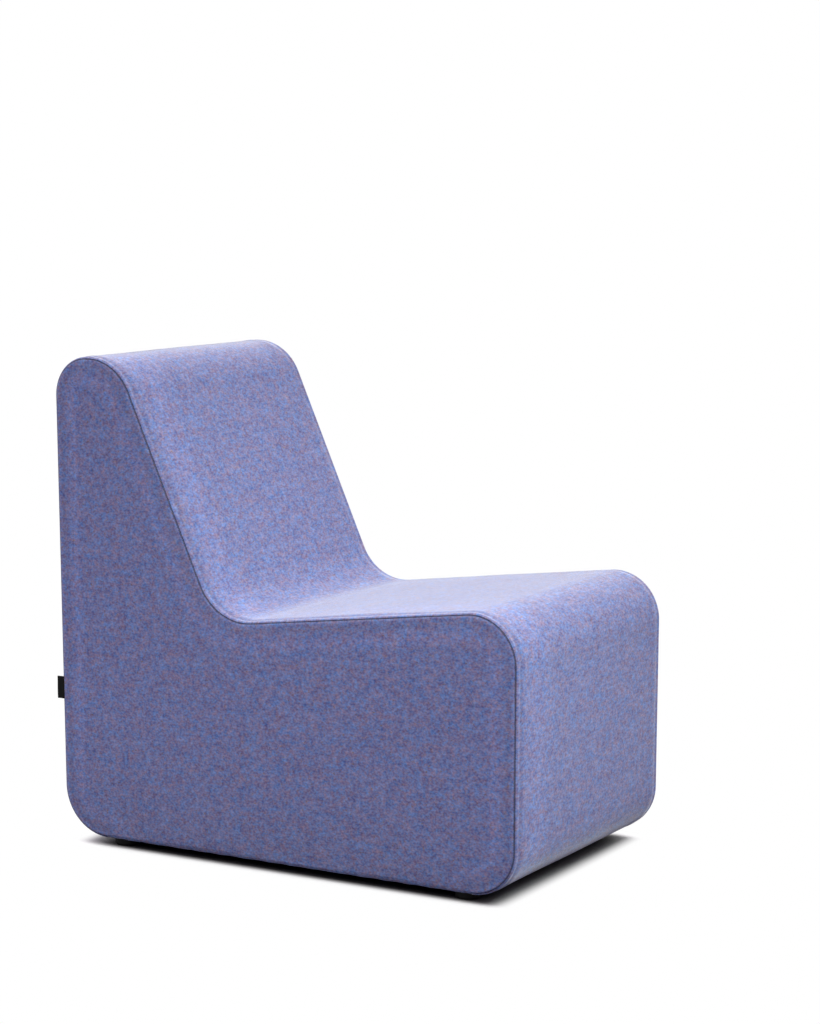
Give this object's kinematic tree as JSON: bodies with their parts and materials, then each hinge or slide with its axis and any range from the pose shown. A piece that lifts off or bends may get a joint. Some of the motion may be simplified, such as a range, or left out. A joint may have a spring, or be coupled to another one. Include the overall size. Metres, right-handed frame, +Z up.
{
  "type": "armless lounge chair",
  "caption": "Low armless upholstered lounge chair: seat and sloping backrest as one rounded wool-covered body on low round glides.",
  "frame": {"origin": "centre of the overall footprint on the floor, under the glides", "axes": "+Z up; +Y to the rear, -Y the way a sitter faces; +X to a standing viewer's right from the front"},
  "size_m": [0.478, 0.8094, 0.76],
  "materials": {
    "wool_cover": "melange blue wool, lavender and brown flecks, matte",
    "plywood": "birch plywood, sanded, unfinished",
    "beech_timber": "planed beech, unfinished",
    "upholstery_foam": "cut polyurethane foam",
    "polyester_wadding": "bonded white wadding",
    "wool_felt": "grey needle felt",
    "elastic_webbing": "black elastic webbing",
    "spring_steel": "phosphated spring steel",
    "zinc_steel": "zinc plated",
    "nylon_black": "moulded black nylon",
    "woven_tag": "black woven ribbon, bare",
    "nonwoven_black": "black non-woven dust cloth"
  },
  "bodies": {
    "root": {"cover_band": "wool_cover", "cover_side_left": "wool_cover", "cover_side_right": "wool_cover", "side_panel_left": "plywood", "side_panel_right": "plywood", "front_panel": "plywood", "rear_panel": "plywood", "top_board": "plywood", "base_runner_left": "beech_timber", "base_runner_right": "beech_timber", "base_rail_front": "beech_timber", "base_rail_rear": "beech_timber", "corner_blocks": "beech_timber", "seat_rail_front": "beech_timber", "seat_rail_rear": "beech_timber", "back_rail_lower": "beech_timber", "back_rail_upper": "beech_timber", "seat_foam": "upholstery_foam", "back_foam": "upholstery_foam", "front_foam": "upholstery_foam", "top_foam": "upholstery_foam", "rear_foam": "upholstery_foam", "side_foam_left": "upholstery_foam", "side_foam_right": "upholstery_foam", "wadding_band": "polyester_wadding", "wadding_left": "polyester_wadding", "wadding_right": "polyester_wadding", "spring_felt": "wool_felt", "back_webbing": "elastic_webbing", "seat_springs": "spring_steel", "spring_clips": "spring_steel", "frame_screws": "zinc_steel", "glide_screws": "zinc_steel", "dust_cover_staples": "zinc_steel", "glides": "nylon_black", "seam_tag": "woven_tag", "dust_cover": "nonwoven_black"}
  },
  "joints": []
}
